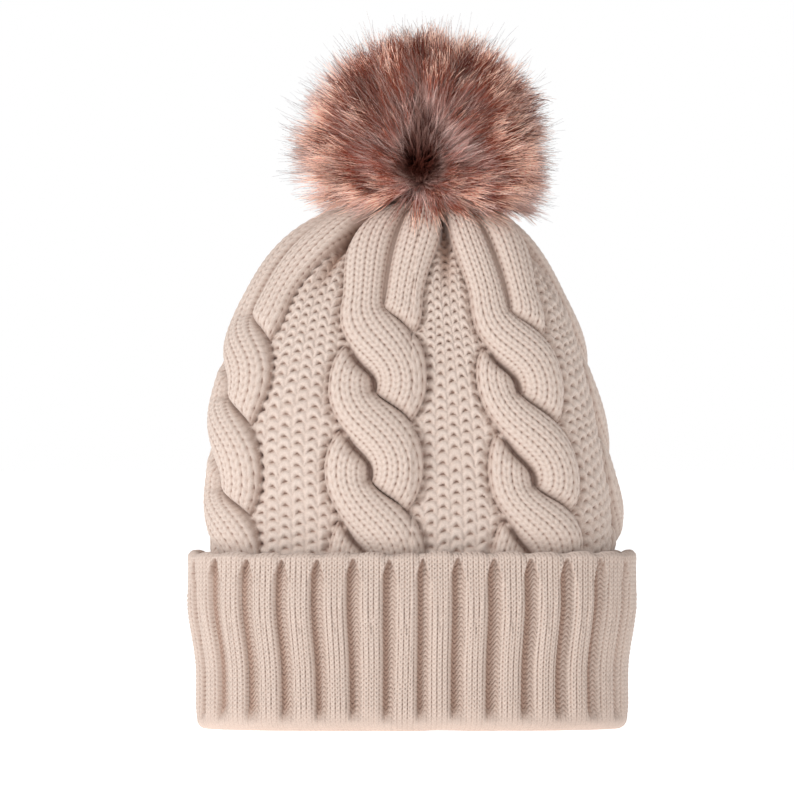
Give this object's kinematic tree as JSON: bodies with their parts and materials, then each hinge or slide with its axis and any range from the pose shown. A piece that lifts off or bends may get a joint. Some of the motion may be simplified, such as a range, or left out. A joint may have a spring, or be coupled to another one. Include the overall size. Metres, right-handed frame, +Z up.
{
  "type": "pom pom beanie",
  "caption": "Cuffed cable-knit winter beanie with moss-stitch panels, a ribbed turn-up and a large detachable faux-fur pom on top.",
  "frame": {"origin": "middle of the rim, at the bottom of the cuff's fold", "axes": "+Z up through the crown to the pom, -Y towards the front, +X to the viewer's right"},
  "size_m": [0.21, 0.115, 0.323],
  "materials": {
    "wool_body": "soft chunky cable knit in pinkish oatmeal, slightly fuzzy",
    "wool_cuff": "soft chunky rib knit in the same oatmeal yarn",
    "wool_yarn": "twisted yarn, matt and slightly fuzzy",
    "label_satin": "woven satin ribbon, soft sheen, blank",
    "felt": "pressed felt, matt",
    "thread": "polyester sewing thread",
    "snap_metal": "nickel-plated pressed steel, satin",
    "spring_wire": "bare spring wire",
    "base_plastic": "translucent white plastic sheet",
    "stuffing_fibre": "loose white polyester fibre",
    "fur_backing": "knitted fur backing, brown",
    "fur_pile": "long faux fur, dark roots, mauve-brown middles, pale pinkish and peach tips"
  },
  "bodies": {
    "hat": {"knit_body": "wool_body", "ribbed_cuff": "wool_cuff", "back_seam_yarn": "wool_yarn", "crown_draw_yarn": "wool_yarn", "care_label": "label_satin", "backing_patch": "felt"},
    "shank": {"shank_thread": "thread"},
    "socket": {"snap_socket": "snap_metal", "socket_stitch_1": "thread", "socket_stitch_2": "thread", "socket_stitch_3": "thread", "socket_stitch_4": "thread"},
    "spring": {"snap_spring": "spring_wire"},
    "pom": {"snap_stud": "snap_metal", "stud_stitch_1": "thread", "stud_stitch_2": "thread", "stud_stitch_3": "thread", "stud_stitch_4": "thread", "pom_base_disc": "base_plastic", "pom_draw_thread": "thread", "pom_stuffing": "stuffing_fibre", "pom_backing": "fur_backing", "pom_pile": "fur_pile"}
  },
  "joints": [
    {"name": "pom_nod", "type": "hinge", "parent": "hat", "child": "shank", "pos_m": [0.008, 0, 0.2373], "axis": [1, 0, 0], "range_deg": [-12, 12], "stiffness_Nm_per_rad": 0.08},
    {"name": "pom_sway", "type": "hinge", "parent": "shank", "child": "socket", "pos_m": [0.008, 0, 0.2505], "axis": [0, 1, 0], "range_deg": [-12, 12], "stiffness_Nm_per_rad": 0.08},
    {"name": "pom_spin", "type": "hinge", "parent": "socket", "child": "spring", "pos_m": [0.008, 0, 0.2535], "axis": [0, 0, 1], "continuous": true},
    {"name": "pom_pull_off", "type": "slide", "parent": "spring", "child": "pom", "axis": [0, 0, 1], "range_m": [0, 0.06]}
  ]
}
